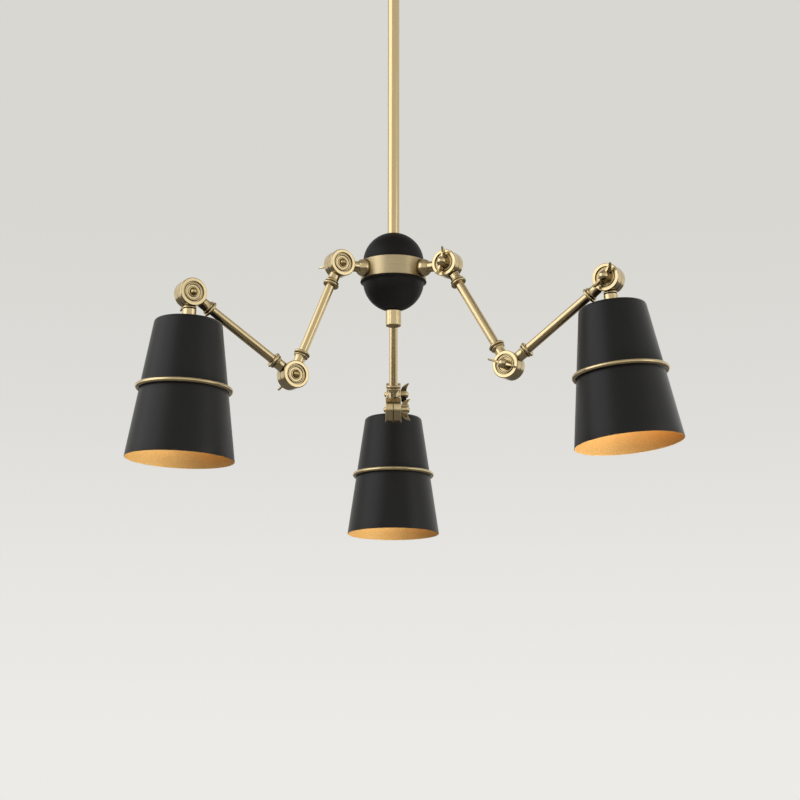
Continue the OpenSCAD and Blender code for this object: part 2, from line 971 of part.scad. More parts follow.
module shade_ring(arm) {
  color(brass)
    at_hinge(arm, wrist(arm), shade_angle(arm))
      translate([stem_l, 0, 0])
        revolve_x()
          translate([ring_r, ring_drop])
            circle(r = wire_r);
}

// Lampholder shell: a cap on the stem's thread and a skirt round the screw socket
module lampholder(arm) {
  cap_end = holder_top + holder_cap_h;
  color(black)
    at_hinge(arm, wrist(arm), shade_angle(arm))
      translate([stem_l, 0, 0])
        revolve_x()
          difference() {
            polygon([
              [tie_rod_d / 2 + seat_fit, holder_top],
              [holder_cap_d / 2, holder_top],
              [holder_cap_d / 2, cap_end - holder_wall],
              [holder_d / 2, cap_end + holder_wall],
              [holder_d / 2, holder_end],
              [0, holder_end],
              [0, holder_thread_end],
              [tie_rod_d / 2 + seat_fit, holder_thread_end]
            ]);
            polygon([
              [0, holder_thread_end + holder_wall],
              [holder_cap_d / 2 - holder_wall, holder_thread_end + holder_wall],
              [holder_inner_r, cap_end + 2 * holder_wall],
              [holder_inner_r, holder_end + cut],
              [0, holder_end + cut]
            ]);
            translate([0, holder_top - cut])
              square([tie_rod_d / 2 + seat_fit, holder_cap_h]);
          }
}

// Screw socket with its insulating base and centre contact
module lamp_socket(arm) {
  color(gold)
    at_hinge(arm, wrist(arm), shade_angle(arm))
      translate([stem_l, 0, 0])
        revolve_x() {
          difference() {
            translate([0, socket_base - socket_base_t])
              square([socket_r, socket_end - socket_base + socket_base_t]);
            translate([0, socket_base])
              square([socket_bore_d / 2, socket_depth + cut]);
            translate([0, socket_base - base_recess_t])
              square([base_recess_d / 2, base_recess_t + cut]);
          }
          translate([0, socket_base - socket_base_t])
            square([contact_d / 2, socket_base_t - base_recess_t + contact_h]);
        }
}

module shoulder_wing_nut(arm) {
  color(brass)
    at_hinge(arm, shoulder, nut_angles(arm)[0])
      wing_nut();
}

module elbow_wing_nut(arm) {
  color(brass)
    at_hinge(arm, elbow(arm), nut_angles(arm)[1])
      wing_nut();
}

module shade_wing_nut(arm) {
  color(brass)
    at_hinge(arm, wrist(arm), nut_angles(arm)[2])
      wing_nut();
}

ceiling_bracket();
canopy();
canopy_fixings();
rod_collar();
down_rod();
hub_dome();
hub_band();
hub_bowl();
hub_tie_rod();
hub_finial();
hub_knuckles();
hub_nuts();
for (arm = arms) {
  inner_upper_knuckle(arm);
  inner_tube(arm);
  inner_lower_knuckle(arm);
  inner_bolts(arm);
  outer_lower_knuckle(arm);
  outer_tube(arm);
  outer_upper_knuckle(arm);
  shade_stem(arm);
  shade_bolt(arm);
  shade(arm);
  shade_ring(arm);
  lampholder(arm);
  lamp_socket(arm);
  shoulder_wing_nut(arm);
  elbow_wing_nut(arm);
  shade_wing_nut(arm);
}
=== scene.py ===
"""Three-armed adjustable chandelier: its finishes, its turned and cast pieces, a studio and a camera."""
import json
import math

import bpy
from mathutils import Matrix, Vector


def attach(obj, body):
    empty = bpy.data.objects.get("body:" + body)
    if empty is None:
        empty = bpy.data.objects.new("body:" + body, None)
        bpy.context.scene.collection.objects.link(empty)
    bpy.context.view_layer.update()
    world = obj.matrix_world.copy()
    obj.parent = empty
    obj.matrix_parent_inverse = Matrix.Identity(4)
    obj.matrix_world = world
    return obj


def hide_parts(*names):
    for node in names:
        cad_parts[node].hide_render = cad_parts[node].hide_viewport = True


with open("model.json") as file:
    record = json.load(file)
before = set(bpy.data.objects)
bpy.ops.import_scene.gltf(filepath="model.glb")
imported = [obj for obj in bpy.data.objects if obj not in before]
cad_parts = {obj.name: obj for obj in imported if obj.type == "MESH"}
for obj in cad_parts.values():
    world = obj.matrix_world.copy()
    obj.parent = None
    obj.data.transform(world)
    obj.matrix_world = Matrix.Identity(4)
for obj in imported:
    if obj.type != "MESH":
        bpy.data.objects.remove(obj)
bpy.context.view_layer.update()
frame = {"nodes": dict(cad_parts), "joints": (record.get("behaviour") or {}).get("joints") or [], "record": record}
joints = {joint["name"]: joint for joint in frame["joints"]}
mounts = {mount["name"]: mount for mount in frame["record"]["mounts"]}

ARMS = ("left", "right", "back")
HINGES = ("shoulder", "elbow", "shade")

# Sizes are in metres, heights on a shade head are measured down from the shade's top
STEM_LENGTH = 0.0365
SHADE_HEIGHT = 0.175
SHADE_TOP_RADIUS = 0.0421
SHADE_MOUTH_RADIUS = 0.06767
SHADE_EDGE = 0.005
SHADE_SHEET = 0.001
SHADE_HOLE = 0.0052
FLARE = math.atan((SHADE_MOUTH_RADIUS - SHADE_TOP_RADIUS) / SHADE_HEIGHT)

HOLDER_TOP = 0.00105
HOLDER_HEIGHT = 0.054
HOLDER_RADIUS = 0.0195
HOLDER_CAP_RADIUS = 0.012
HOLDER_CAP = 0.012
HOLDER_WALL = 0.0022
HOLDER_RIB = 0.0006
HOLDER_RIBS = 32
SOCKET_BORE = 0.0133
SOCKET_DEPTH = 0.026
SOCKET_BASE = 0.006
THREAD_PITCH = 0.0036
THREAD_DEPTH = 0.0006

NUT_FOOT = 0.0102
BOSS_RADIUS = 0.0065
BOSS_HEIGHT = 0.0132
WING_SPAN = 0.038
WING_ROOT = 0.005
WING_LIFT = 0.001
WING_RISE = 0.014
WING_HEIGHT = 0.0084
WING_THICK = 0.0032
WING_THIN = 0.0023
WING_STATIONS = (0, 0.15, 0.3, 0.45, 0.6, 0.72, 0.82, 0.9, 0.96, 0.985)
WING_OVERLAP = 0.22
NUT_VOXEL = 0.00035

# The studio: the camera's angles in degrees, the surround's tones by the height of the gaze
LENS = 72.7
SENSOR = 36
CAMERA_PLACE = (0, -2.112, -1.043)
CAMERA_PITCH = 100.66
CAMERA_TURN = -0.24
AIM = Vector((0, 0, -0.55))
FLOOR_DROP = 2.25
FLOOR_RADIUS = 6.0
FLOOR_GLOW = 0.75
FLOOR_LIGHT = 1.2
SURROUND_LOW = -0.06
SURROUND_HIGH = 0.42
SURROUND_TONES = (
    (0.09, (0.840, 0.831, 0.799)),
    (0.30, (0.797, 0.785, 0.755)),
    (0.50, (0.730, 0.723, 0.694)),
    (0.72, (0.687, 0.680, 0.645)),
)
AMBIENT_TONE = (0.94, 0.97, 1)
AMBIENT_LEVEL = 0.25
COOL_WHITE = (0.96, 0.972, 1)
WARM_WHITE = (1, 0.975, 0.94)


def set_camera():
    """Sets the camera at the photograph's viewing angle."""
    lens = bpy.data.cameras.new("photo_camera")
    lens.lens = LENS
    lens.sensor_width = SENSOR
    camera = bpy.data.objects.new("photo_camera", lens)
    camera.location = CAMERA_PLACE
    camera.rotation_euler = (math.radians(CAMERA_PITCH), 0, math.radians(CAMERA_TURN))
    bpy.context.scene.collection.objects.link(camera)
    bpy.context.scene.camera = camera


def add_softbox(name, place, width, height, radiance, colour):
    """Adds a rectangular softbox that faces the chandelier."""
    lamp = bpy.data.lights.new(name, "AREA")
    lamp.shape = "RECTANGLE"
    lamp.size = width
    lamp.size_y = height
    lamp.energy = radiance * math.pi * width * height
    lamp.color = colour
    softbox = bpy.data.objects.new(name, lamp)
    softbox.location = place
    softbox.rotation_euler = (AIM - Vector(place)).to_track_quat("-Z", "Y").to_euler()
    bpy.context.scene.collection.objects.link(softbox)
    return softbox


def looked_at(tree):
    """Whether the studio is looked at, straight or in a mirror or a glass."""
    path = tree.nodes.new("ShaderNodeLightPath")
    seen = tree.nodes.new("ShaderNodeMath")
    seen.operation = "MAXIMUM"
    tree.links.new(path.outputs["Is Camera Ray"], seen.inputs[0])
    tree.links.new(path.outputs["Is Glossy Ray"], seen.inputs[1])
    through = tree.nodes.new("ShaderNodeMath")
    through.operation = "MAXIMUM"
    tree.links.new(seen.outputs[0], through.inputs[0])
    tree.links.new(path.outputs["Is Transmission Ray"], through.inputs[1])
    return through.outputs[0]


def set_world():
    """Sets a pale surround, a little lighter below, which lights the room softly."""
    world = bpy.data.worlds.new("pale_surround")
    bpy.context.scene.world = world
    world.use_nodes = True
    tree = world.node_tree
    tree.nodes.clear()
    place = tree.nodes.new("ShaderNodeTexCoord")
    split = tree.nodes.new("ShaderNodeSeparateXYZ")
    tree.links.new(place.outputs["Generated"], split.inputs[0])
    height = tree.nodes.new("ShaderNodeMapRange")
    height.inputs["From Min"].default_value = SURROUND_LOW
    height.inputs["From Max"].default_value = SURROUND_HIGH
    tree.links.new(split.outputs["Z"], height.inputs["Value"])
    ramp = tree.nodes.new("ShaderNodeValToRGB")
    for level, _ in SURROUND_TONES[1:-1]:
        ramp.color_ramp.elements.new(level)
    for element, (level, colour) in zip(ramp.color_ramp.elements, SURROUND_TONES):
        element.position = level
        element.color = (*colour, 1)
    tree.links.new(height.outputs["Result"], ramp.inputs["Fac"])
    shown = tree.nodes.new("ShaderNodeBackground")
    tree.links.new(ramp.outputs["Color"], shown.inputs["Color"])
    ambient = tree.nodes.new("ShaderNodeBackground")
    ambient.inputs["Color"].default_value = (*AMBIENT_TONE, 1)
    ambient.inputs["Strength"].default_value = AMBIENT_LEVEL
    mix = tree.nodes.new("ShaderNodeMixShader")
    tree.links.new(looked_at(tree), mix.inputs["Fac"])
    tree.links.new(ambient.outputs[0], mix.inputs[1])
    tree.links.new(shown.outputs[0], mix.inputs[2])
    output = tree.nodes.new("ShaderNodeOutputWorld")
    tree.links.new(mix.outputs[0], output.inputs["Surface"])


def lay_card(name, finish, place, width, height):
    """Stands a card that only shows in reflections, for the depth of the metal."""
    bpy.ops.object.select_all(action="DESELECT")
    bpy.ops.mesh.primitive_plane_add(size=1, location=place)
    card = bpy.context.object
    card.name = name
    card.scale = (width, height, 1)
    card.rotation_euler = (AIM - Vector(place)).to_track_quat("Z", "Y").to_euler()
    bpy.ops.object.transform_apply(location=True, rotation=True, scale=True)
    card.data.materials.append(finish)
    card.visible_camera = False
    card.visible_diffuse = False
    card.visible_shadow = False
    card.visible_transmission = False


def lay_floor(finish):
    """Lays a pale round floor well below the chandelier."""
    bpy.ops.object.select_all(action="DESELECT")
    bpy.ops.mesh.primitive_circle_add(
        vertices=96, radius=FLOOR_RADIUS, fill_type="NGON", location=(0, 0, -FLOOR_DROP)
    )
    floor = bpy.context.object
    floor.name = "floor"
    bpy.ops.object.transform_apply(location=True, rotation=True, scale=True)
    floor.data.materials.append(finish)


def new_finish(name):
    """Starts a finish and gives its node tree and its shader."""
    finish = bpy.data.materials.new(name)
    finish.use_nodes = True
    return finish, finish.node_tree, finish.node_tree.nodes["Principled BSDF"]


def grain(tree, scale, stretch=(1, 1, 1), heading=(0, 0, 0), detail=4.0):
    """Noise on the piece's own coordinates, drawn out along its turned axes."""
    place = tree.nodes.new("ShaderNodeTexCoord")
    mapping = tree.nodes.new("ShaderNodeMapping")
    mapping.vector_type = "TEXTURE"
    mapping.inputs["Scale"].default_value = stretch
    mapping.inputs["Rotation"].default_value = heading
    tree.links.new(place.outputs["Object"], mapping.inputs["Vector"])
    noise = tree.nodes.new("ShaderNodeTexNoise")
    noise.inputs["Scale"].default_value = scale
    noise.inputs["Detail"].default_value = detail
    tree.links.new(mapping.outputs["Vector"], noise.inputs["Vector"])
    return noise.outputs["Fac"]


def tone(tree, surface, value, dark, light, start=0.35, end=0.65):
    """Colours the surface between two tones."""
    ramp = tree.nodes.new("ShaderNodeValToRGB")
    ramp.color_ramp.elements[0].position = start
    ramp.color_ramp.elements[0].color = (*dark, 1)
    ramp.color_ramp.elements[1].position = end
    ramp.color_ramp.elements[1].color = (*light, 1)
    tree.links.new(value, ramp.inputs["Fac"])
    tree.links.new(ramp.outputs["Color"], surface.inputs["Base Color"])


def polish(tree, surface, value, low, high):
    """Varies the roughness between two levels."""
    spread = tree.nodes.new("ShaderNodeMapRange")
    spread.inputs["From Min"].default_value = 0.3
    spread.inputs["From Max"].default_value = 0.7
    spread.inputs["To Min"].default_value = low
    spread.inputs["To Max"].default_value = high
    tree.links.new(value, spread.inputs["Value"])
    tree.links.new(spread.outputs["Result"], surface.inputs["Roughness"])


def hollow_tint(tree, surface, depth, inner, start=0.4, end=0.95, alone=True):
    """Tints the tone in hollows, of the piece alone or also where pieces meet: patina and painted shade on the
    brass, painted light deep inside the shades.
    """
    hollow = tree.nodes.new("ShaderNodeAmbientOcclusion")
    hollow.samples = 16
    hollow.only_local = alone
    hollow.inputs["Distance"].default_value = depth
    spread = tree.nodes.new("ShaderNodeMapRange")
    spread.inputs["From Min"].default_value = start
    spread.inputs["From Max"].default_value = end
    tree.links.new(hollow.outputs["AO"], spread.inputs["Value"])
    mix = tree.nodes.new("ShaderNodeMix")
    mix.data_type = "RGBA"
    mix.inputs["A"].default_value = (*inner, 1)
    tree.links.new(spread.outputs["Result"], mix.inputs["Factor"])
    tree.links.new(surface.inputs["Base Color"].links[0].from_socket, mix.inputs["B"])
    tree.links.new(mix.outputs["Result"], surface.inputs["Base Color"])


def relief(tree, surface, value, depth, strength):
    """Raises a fine relief of the given depth."""
    bump = tree.nodes.new("ShaderNodeBump")
    bump.inputs["Distance"].default_value = depth
    bump.inputs["Strength"].default_value = strength
    tree.links.new(value, bump.inputs["Height"])
    tree.links.new(bump.outputs["Normal"], surface.inputs["Normal"])


def satin_brass():
    """Cast and turned brass, satin, under a thin lacquer."""
    finish, tree, surface = new_finish("satin_brass")
    surface.inputs["Metallic"].default_value = 1
    surface.inputs["Coat Weight"].default_value = 0.5
    surface.inputs["Coat Roughness"].default_value = 0.12
    tone(tree, surface, grain(tree, 60), dark=(0.66, 0.52, 0.278), light=(0.72, 0.572, 0.318))
    # Patina and painted shade: dark brown mixed into grooves, recesses and where pieces meet.
    hollow_tint(tree, surface, depth=0.003, inner=(0.12, 0.078, 0.028), alone=False)
    polish(tree, surface, grain(tree, 300), low=0.21, high=0.26)
    relief(tree, surface, grain(tree, 1800), depth=0.00003, strength=0.03)
    return finish


def drawn_brass(name, heading):
    """Tube brass with fine draw lines along the tube."""
    finish, tree, surface = new_finish(name)
    surface.inputs["Metallic"].default_value = 1
    surface.inputs["Coat Weight"].default_value = 0.5
    surface.inputs["Coat Roughness"].default_value = 0.12
    lines = grain(tree, 1800, stretch=(1, 1, 80), heading=heading)
    tone(tree, surface, lines, dark=(0.65, 0.502, 0.265), light=(0.71, 0.556, 0.308))
    polish(tree, surface, lines, low=0.2, high=0.27)
    relief(tree, surface, lines, depth=0.00002, strength=0.04)
    return finish


def brushed_brass():
    """Band brass, brushed round the hub."""
    finish, tree, surface = new_finish("brushed_brass")
    surface.inputs["Metallic"].default_value = 1
    surface.inputs["Anisotropic"].default_value = 0.7
    surface.inputs["Anisotropic Rotation"].default_value = 0.25
    round_hub = tree.nodes.new("ShaderNodeTangent")
    round_hub.direction_type = "RADIAL"
    round_hub.axis = "Z"
    tree.links.new(round_hub.outputs["Tangent"], surface.inputs["Tangent"])
    lines = grain(tree, 1100, stretch=(40, 40, 1))
    tone(tree, surface, lines, dark=(0.69, 0.56, 0.335), light=(0.80, 0.655, 0.405))
    # Painted shade: dark brown mixed into the band where the stubs, dome and bowl stand close.
    hollow_tint(tree, surface, depth=0.014, inner=(0.10, 0.06, 0.02), start=0.5, end=0.96, alone=False)
    polish(tree, surface, lines, low=0.44, high=0.54)
    relief(tree, surface, lines, depth=0.00004, strength=0.2)
    return finish


def bolt_brass():
    """Bolts and washers: brass a shade darker and a little brighter polished."""
    finish, tree, surface = new_finish("bolt_brass")
    surface.inputs["Metallic"].default_value = 1
    tone(tree, surface, grain(tree, 90), dark=(0.60, 0.445, 0.215), light=(0.69, 0.525, 0.27))
    polish(tree, surface, grain(tree, 800), low=0.16, high=0.24)
    relief(tree, surface, grain(tree, 1800), depth=0.00003, strength=0.06)
    return finish


def hub_black():
    """Matt black paint on the dome and the bowl."""
    finish, tree, surface = new_finish("hub_black")
    surface.inputs["Specular IOR Level"].default_value = 0.22
    tone(tree, surface, grain(tree, 500), dark=(0.0045, 0.0042, 0.0040), light=(0.0075, 0.0070, 0.0067))
    polish(tree, surface, grain(tree, 900), low=0.46, high=0.56)
    relief(tree, surface, grain(tree, 1600), depth=0.00006, strength=0.25)
    return finish


def shade_black():
    """Charcoal powder paint on the outside of the shades."""
    finish, tree, surface = new_finish("shade_black")
    surface.inputs["Specular IOR Level"].default_value = 0.28
    surface.inputs["Sheen Weight"].default_value = 0.12
    surface.inputs["Sheen Roughness"].default_value = 0.4
    tone(tree, surface, grain(tree, 600), dark=(0.0042, 0.0041, 0.0041), light=(0.0070, 0.0068, 0.0068))
    polish(tree, surface, grain(tree, 800), low=0.34, high=0.44)
    relief(tree, surface, grain(tree, 1400), depth=0.00006, strength=0.3)
    return finish


def shade_gold():
    """Speckled gold paint on the inside of the shades, with painted light that makes it brighter deeper inside."""
    finish, tree, surface = new_finish("shade_gold")
    surface.inputs["Metallic"].default_value = 0.3
    speckle = grain(tree, 750, detail=2.0)
    tone(tree, surface, speckle, dark=(0.52, 0.30, 0.085), light=(0.70, 0.44, 0.165), start=0.3, end=0.7)
    # Painted light: the gold turns brighter and more orange deeper inside the shade, darker towards the mouth.
    hollow_tint(tree, surface, depth=0.15, inner=(1.0, 0.65, 0.23), start=0.38, end=0.53)
    polish(tree, surface, grain(tree, 900), low=0.36, high=0.5)
    relief(tree, surface, grain(tree, 1100), depth=0.0001, strength=0.3)
    return finish


def zinc_steel():
    """Zinc-plated steel of the bracket, the tie rod and the nuts."""
    finish, tree, surface = new_finish("zinc_steel")
    surface.inputs["Metallic"].default_value = 1
    tone(tree, surface, grain(tree, 120), dark=(0.46, 0.46, 0.45), light=(0.60, 0.60, 0.60))
    polish(tree, surface, grain(tree, 400), low=0.3, high=0.46)
    relief(tree, surface, grain(tree, 1200), depth=0.00008, strength=0.3)
    return finish


def holder_black():
    """Moulded black of the lampholders."""
    finish, tree, surface = new_finish("holder_black")
    tone(tree, surface, grain(tree, 250), dark=(0.010, 0.0095, 0.009), light=(0.016, 0.0152, 0.0145))
    polish(tree, surface, grain(tree, 500), low=0.28, high=0.4)
    relief(tree, surface, grain(tree, 900), depth=0.00006, strength=0.25)
    return finish


def socket_brass():
    """Thin rolled brass of the screw shells and contacts."""
    finish, tree, surface = new_finish("socket_brass")
    surface.inputs["Metallic"].default_value = 1
    tone(tree, surface, grain(tree, 150), dark=(0.66, 0.47, 0.20), light=(0.80, 0.60, 0.29))
    polish(tree, surface, grain(tree, 500), low=0.2, high=0.34)
    relief(tree, surface, grain(tree, 1200), depth=0.00005, strength=0.2)
    return finish


def socket_ceramic():
    """Glazed white base of the screw sockets."""
    finish, tree, surface = new_finish("socket_ceramic")
    tone(tree, surface, grain(tree, 200), dark=(0.62, 0.60, 0.55), light=(0.72, 0.70, 0.66))
    polish(tree, surface, grain(tree, 350), low=0.2, high=0.34)
    relief(tree, surface, grain(tree, 700), depth=0.00006, strength=0.2)
    return finish


def floor_paint():
    """Pale matt paint of the floor, which keeps a shadow and is open to a view from below."""
    finish, tree, surface = new_finish("floor_paint")
    tone(tree, surface, grain(tree, 3), dark=(0.74, 0.73, 0.705), light=(0.76, 0.75, 0.725))
    polish(tree, surface, grain(tree, 20), low=0.7, high=0.85)
    pale = tree.nodes.new("ShaderNodeEmission")
    pale.inputs["Strength"].default_value = FLOOR_LIGHT
    tree.links.new(surface.inputs["Base Color"].links[0].from_socket, pale.inputs["Color"])
    share = tree.nodes.new("ShaderNodeMath")
    share.operation = "MULTIPLY"
    share.inputs[1].default_value = FLOOR_GLOW
    tree.links.new(looked_at(tree), share.inputs[0])
    shown = tree.nodes.new("ShaderNodeMixShader")
    tree.links.new(share.outputs[0], shown.inputs["Fac"])
    tree.links.new(surface.outputs["BSDF"], shown.inputs[1])
    tree.links.new(pale.outputs["Emission"], shown.inputs[2])
    underside = tree.nodes.new("ShaderNodeNewGeometry")
    opening = tree.nodes.new("ShaderNodeBsdfTransparent")
    sides = tree.nodes.new("ShaderNodeMixShader")
    tree.links.new(underside.outputs["Backfacing"], sides.inputs["Fac"])
    tree.links.new(shown.outputs["Shader"], sides.inputs[1])
    tree.links.new(opening.outputs["BSDF"], sides.inputs[2])
    tree.links.new(sides.outputs["Shader"], tree.nodes["Material Output"].inputs["Surface"])
    return finish


def card_felt():
    """Grey felt of the studio's cards."""
    finish, tree, surface = new_finish("card_felt")
    tone(tree, surface, grain(tree, 40), dark=(0.36, 0.34, 0.31), light=(0.42, 0.40, 0.37))
    polish(tree, surface, grain(tree, 40), low=0.9, high=1.0)
    return finish


def activate(piece):
    """Selects one piece alone."""
    bpy.ops.object.select_all(action="DESELECT")
    piece.select_set(True)
    bpy.context.view_layer.objects.active = piece


def draw_outline(name, outline):
    """Draws an open line through points of radius and height."""
    bpy.ops.object.select_all(action="DESELECT")
    bpy.ops.mesh.primitive_plane_add(size=0.01)
    piece = bpy.context.object
    piece.name = name
    bpy.ops.object.mode_set(mode="EDIT")
    bpy.ops.mesh.select_mode(type="VERT")
    bpy.ops.mesh.select_all(action="SELECT")
    bpy.ops.mesh.merge(type="CENTER")
    bpy.ops.transform.translate(value=(outline[0][0], 0, outline[0][1]))
    for last, point in zip(outline, outline[1:]):
        step = (point[0] - last[0], 0, point[1] - last[1])
        bpy.ops.mesh.extrude_vertices_move(TRANSFORM_OT_translate={"value": step})
    return piece


def turn(name, outline, sides=96):
    """Turns an outline about the upright axis into a closed piece."""
    piece = draw_outline(name, outline)
    bpy.ops.mesh.select_all(action="SELECT")
    bpy.ops.mesh.spin(steps=sides, angle=2 * math.pi, center=(0, 0, 0), axis=(0, 0, 1))
    bpy.ops.mesh.select_all(action="SELECT")
    bpy.ops.mesh.remove_doubles(threshold=0.000002)
    bpy.ops.mesh.normals_make_consistent(inside=False)
    bpy.ops.object.mode_set(mode="OBJECT")
    return piece


def arc(middle, radius, start, end, steps):
    """Points of an arc in an outline, angles in degrees from outward to upward."""
    angles = [math.radians(start + (end - start) * i / steps) for i in range(steps + 1)]
    return [(middle[0] + radius * math.cos(a), middle[1] + radius * math.sin(a)) for a in angles]


def line(start, end, steps):
    """Evenly spaced points between two points of an outline, both ends left out."""
    parts = [i / steps for i in range(1, steps)]
    return [(start[0] + (end[0] - start[0]) * p, start[1] + (end[1] - start[1]) * p) for p in parts]


def select_faces(piece, wanted):
    """Opens a piece with only the wanted faces selected."""
    activate(piece)
    bpy.ops.object.mode_set(mode="EDIT")
    bpy.ops.mesh.select_mode(type="FACE")
    bpy.ops.mesh.select_all(action="DESELECT")
    bpy.ops.object.mode_set(mode="OBJECT")
    for face in piece.data.polygons:
        face.select = wanted(face)
    bpy.ops.object.mode_set(mode="EDIT")


def join(first, *others):
    """Joins pieces into the first one."""
    activate(first)
    for other in others:
        other.select_set(True)
    bpy.ops.object.join()
    return first


def smooth(piece, angle=35):
    """Shades a piece smooth, with its sharp edges kept."""
    activate(piece)
    bpy.ops.object.shade_smooth_by_angle(angle=math.radians(angle))


def put(pattern, name, frame_of_piece):
    """Puts a copy of a pattern piece in place, with its place in its mesh."""
    piece = pattern.copy()
    piece.data = pattern.data.copy()
    piece.name = name
    piece.data.name = name
    bpy.context.scene.collection.objects.link(piece)
    piece.matrix_world = frame_of_piece
    activate(piece)
    bpy.ops.object.transform_apply(location=True, rotation=True, scale=True)
    return piece


def discard(pattern):
    """Takes a pattern piece away once its copies stand."""
    bpy.data.objects.remove(pattern)


def axes(origin, across, up):
    """A frame with its X axis near across and its Z axis along up."""
    up = up.normalized()
    side = up.cross(across).normalized()
    across = side.cross(up)
    turned = Matrix((across, side, up)).transposed().to_4x4()
    return Matrix.Translation(origin) @ turned


def hinge_centre(arm, hinge):
    """The middle of one hinge."""
    return Vector(joints[f"{arm}_{hinge}_nut_turn"]["pos_m"])


def nut_side(arm, hinge):
    """The direction in which a hinge's wing nut stands."""
    return Vector(joints[f"{arm}_{hinge}_nut_turn"]["axis"])


def shade_axis(arm):
    """The direction in which a shade opens."""
    return Vector(mounts[f"{arm}_bulb_socket"]["axis"]).normalized()


def shade_frame(arm):
    """A frame at the middle of a shade's top, with Z up its axis and X away from the hub."""
    centre = hinge_centre(arm, "shade")
    down = shade_axis(arm)
    outward = Vector((centre.x, centre.y, 0))
    return axes(centre + STEM_LENGTH * down, outward, -down)


def wing_direction(arm, hinge):
    """The direction of a wing nut's wings, from the tip that lies farthest off its axis."""
    same_side = 0.9
    near_tip = 0.98
    centre = hinge_centre(arm, hinge)
    axis = nut_side(arm, hinge).normalized()
    points = [vertex.co - centre for vertex in frame["nodes"][f"{arm}_{hinge}_wing_nut"].data.vertices]
    radial = [point - axis * point.dot(axis) for point in points]
    tips = max(radial, key=lambda point: point.length)
    end = [point for point in radial if point.normalized().dot(tips.normalized()) > same_side]
    far = [point for point in end if point.length > near_tip * tips.length]
    return sum(far, Vector()) / len(far)


def shade_pattern(black, gold):
    """The conical shade: black sheet, gold inside, with a rounded top edge and mouth."""
    wall = SHADE_SHEET / math.cos(FLARE)
    tilt = math.degrees(FLARE)
    edge_radius = SHADE_TOP_RADIUS + SHADE_EDGE * math.tan(FLARE) - SHADE_EDGE / math.cos(FLARE)
    edge_middle = (edge_radius, -SHADE_EDGE)
    lip = SHADE_SHEET / 2
    lip_middle = (SHADE_MOUTH_RADIUS - wall / 2, -SHADE_HEIGHT + lip)
    outer_edge = arc(edge_middle, SHADE_EDGE, 90, tilt, 8)
    lip_edge = arc(lip_middle, lip, tilt, tilt - 180, 8)
    inner_edge = arc(edge_middle, SHADE_EDGE - SHADE_SHEET, tilt, 90, 8)
    start = (SHADE_HOLE, 0)
    end = (SHADE_HOLE, -SHADE_SHEET)
    outline = [start, *line(start, outer_edge[0], 4), *outer_edge]
    outline += [*line(outer_edge[-1], lip_edge[0], 14), *lip_edge]
    outline += [*line(lip_edge[-1], inner_edge[0], 14), *inner_edge]
    outline += [*line(inner_edge[-1], end, 4), end, start]
    shade = turn("shade_pattern", outline, 128)
    shade.data.materials.append(black)
    shade.data.materials.append(gold)
    for face in shade.data.polygons:
        radial = Vector((face.center.x, face.center.y, 0)).normalized()
        top = face.center.z > -0.7 * SHADE_SHEET
        face.material_index = 0 if top or face.normal.dot(radial) > 0.1 else 1
    smooth(shade)
    return shade


def holder_pattern(black):
    """The lampholder: a cap on the stem's thread and a ribbed skirt with a rolled mouth."""
    core = HOLDER_RADIUS - HOLDER_RIB
    inner = HOLDER_RADIUS - HOLDER_WALL
    cap_inner = HOLDER_CAP_RADIUS - HOLDER_WALL
    bore = SHADE_HOLE - 0.0001
    top = -HOLDER_TOP
    shoulder = top - HOLDER_CAP
    mouth = top - HOLDER_HEIGHT
    cap_foot = shoulder + 0.002
    cap_floor = shoulder + 0.0022
    cap_throat = shoulder - 0.0002
    skirt_inside = shoulder - 0.0044
    rib_top = shoulder - 0.005
    rib_foot = mouth + 0.007
    bead_top = mouth + 0.005
    cap_round = 0.001
    skirt_round = 0.003
    bead = 0.0009
    lip = 0.0005
    outline = [(bore, top), *line((bore, top), (HOLDER_CAP_RADIUS - cap_round, top), 3)]
    outline += arc((HOLDER_CAP_RADIUS - cap_round, top - cap_round), cap_round, 90, 0, 5)
    outline += [(HOLDER_CAP_RADIUS, cap_foot)]
    outline += arc((core - skirt_round, shoulder - skirt_round), skirt_round, 80, 0, 6)
    outline += [(core, rib_top), (core, rib_foot), (core, bead_top)]
    outline += arc((core - bead / 3, mouth + bead), bead, 90, -90, 8)
    outline += arc((inner + lip, mouth + lip), lip, -90, -180, 4)
    outline += [(inner, skirt_inside), (cap_inner, cap_throat)]
    outline += [(cap_inner, cap_floor), (bore, cap_floor), (bore, top)]
    holder = turn("holder_pattern", outline, 4 * HOLDER_RIBS)

    def on_rib(face):
        """Whether a face belongs to a rib of the skirt."""
        column = math.atan2(face.center.y, face.center.x) / (2 * math.pi) * HOLDER_RIBS % 1
        outside = math.hypot(face.center.x, face.center.y) > core - HOLDER_RIB / 3
        return outside and rib_foot < face.center.z < rib_top and column < 0.5

    select_faces(holder, on_rib)
    rib = 0.95 * HOLDER_RIB
    bpy.ops.mesh.extrude_region_shrink_fatten(TRANSFORM_OT_shrink_fatten={"value": rib})
    bpy.ops.object.mode_set(mode="OBJECT")
    holder.data.materials.append(black)
    smooth(holder, 30)
    return holder


